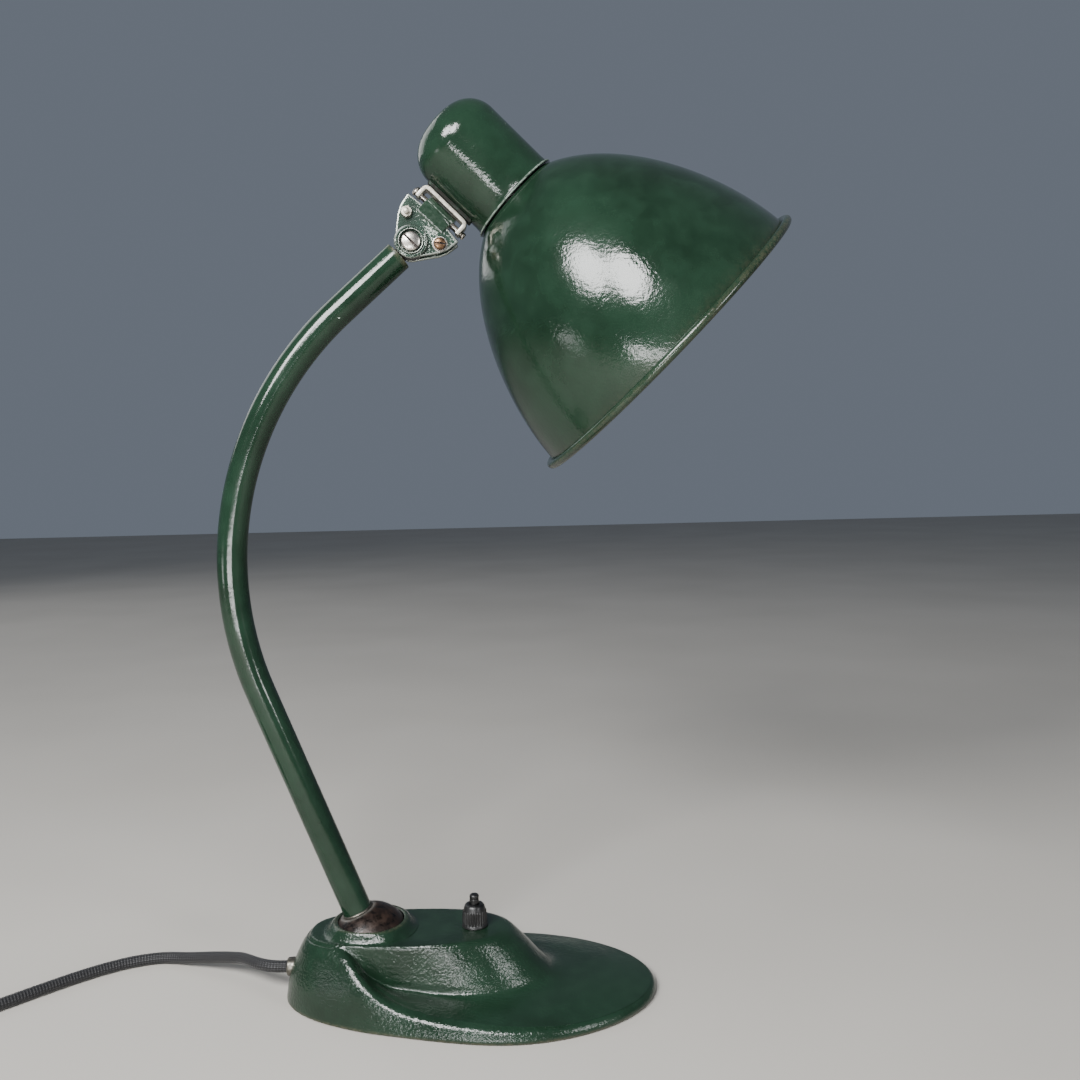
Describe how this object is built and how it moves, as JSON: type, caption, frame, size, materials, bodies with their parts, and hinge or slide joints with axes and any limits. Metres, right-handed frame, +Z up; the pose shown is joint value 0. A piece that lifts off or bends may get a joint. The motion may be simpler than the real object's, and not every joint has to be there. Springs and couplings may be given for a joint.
{
  "type": "swing arm desk lamp",
  "caption": "Desk lamp with a cast spoon-shaped foot, a bent tube arm on a ball joint, a clamp pivot, a spun bell shade with a domed cap, a push switch and a mains cord.",
  "frame": {"origin": "on the underside of the felt, below the middle of the foot", "axes": "+Z up, +X from the housing towards the shade, -X the side where the cord leaves; the arm's plane is turned 5 degrees from +X towards +Y"},
  "size_m": [0.5939, 0.185, 0.4872],
  "materials": {
    "green_enamel": "glossy dark green enamel, chipped and worn at edges",
    "dark_iron": "dark brown-black patina, satin",
    "bright_steel": "bare bright steel",
    "zinc_plate": "dull zinc plate",
    "aged_brass": "aged brass",
    "black_bakelite": "black moulded bakelite",
    "green_felt": "pressed wool felt",
    "joint_leather": "greased leather lining",
    "black_braid": "black braided textile over rubber",
    "white_porcelain": "white glazed porcelain",
    "bulb_glass": "clear blown glass"
  },
  "bodies": {
    "base": {"base_casting": "green_enamel", "felt_pad": "green_felt", "bottom_plate": "zinc_plate", "plate_screw_1": "bright_steel", "plate_screw_2": "bright_steel", "plate_screw_3": "bright_steel", "pressure_plate": "bright_steel", "pressure_screw_1": "bright_steel", "pressure_screw_2": "bright_steel", "pressure_screw_3": "bright_steel", "switch_body": "black_bakelite", "switch_collar": "black_bakelite", "cord_gland": "zinc_plate", "cord_inner_end": "black_braid", "mains_cord": "black_braid", "cord_coil": "black_braid", "plug_body": "black_bakelite", "plug_pin_1": "aged_brass", "plug_pin_2": "aged_brass"},
    "button": {"switch_button": "black_bakelite"},
    "ball_cup": {"pressure_cup": "bright_steel", "cup_lining": "joint_leather"},
    "ball": {"ball": "dark_iron"},
    "arm": {"arm_tube": "green_enamel", "arm_flex": "black_braid", "tube_ferrule": "bright_steel", "arm_knuckle": "dark_iron"},
    "clamp": {"clamp_fork": "green_enamel", "pivot_screw": "bright_steel", "pivot_cup_washer": "green_enamel", "pivot_rear_washer": "green_enamel", "pivot_nut": "zinc_plate", "clamp_screw_upper": "zinc_plate", "clamp_screw_lower": "aged_brass", "clamp_nut_upper": "zinc_plate", "clamp_nut_lower": "aged_brass", "clamp_washer_lower": "bright_steel", "clamp_spacer_upper": "zinc_plate", "clamp_spacer_lower": "zinc_plate"},
    "head": {"hinge_pin": "bright_steel", "hinge_bracket": "zinc_plate", "bracket_saddle": "green_enamel", "bracket_rivet_upper": "zinc_plate", "bracket_rivet_lower": "zinc_plate", "lamp_cap": "green_enamel", "shade": "green_enamel", "shade_ring": "black_bakelite", "lampholder_shell": "black_bakelite", "lampholder_insert": "white_porcelain", "bulb_cap": "aged_brass", "bulb_glass": "bulb_glass"}
  },
  "joints": [
    {"name": "switch_press", "type": "slide", "parent": "base", "child": "button", "axis": [0, 0, -1], "range_m": [0, 0.003], "stiffness_N_per_m": 300},
    {"name": "ball_pan", "type": "hinge", "parent": "base", "child": "ball_cup", "pos_m": [-0.0552, 0, 0.0288], "axis": [0, 0, 1], "range_deg": [-170, 170]},
    {"name": "ball_tilt", "type": "hinge", "parent": "ball_cup", "child": "ball", "pos_m": [-0.0552, 0, 0.0288], "axis": [-0.0872, 0.9962, 0], "range_deg": [-3, 45]},
    {"name": "arm_twist", "type": "hinge", "parent": "ball", "child": "arm", "pos_m": [-0.0552, 0, 0.0288], "axis": [-0.357, -0.0312, 0.9336], "range_deg": [-150, 150]},
    {"name": "head_tilt", "type": "hinge", "parent": "arm", "child": "clamp", "pos_m": [-0.02156, 0.00294, 0.41291], "axis": [0.0872, -0.9962, 0], "range_deg": [-50, 55]},
    {"name": "head_swivel", "type": "hinge", "parent": "clamp", "child": "head", "pos_m": [-0.00599, 0.0043, 0.42881], "axis": [-0.7105, -0.0622, 0.7009], "range_deg": [-30, 30]}
  ]
}
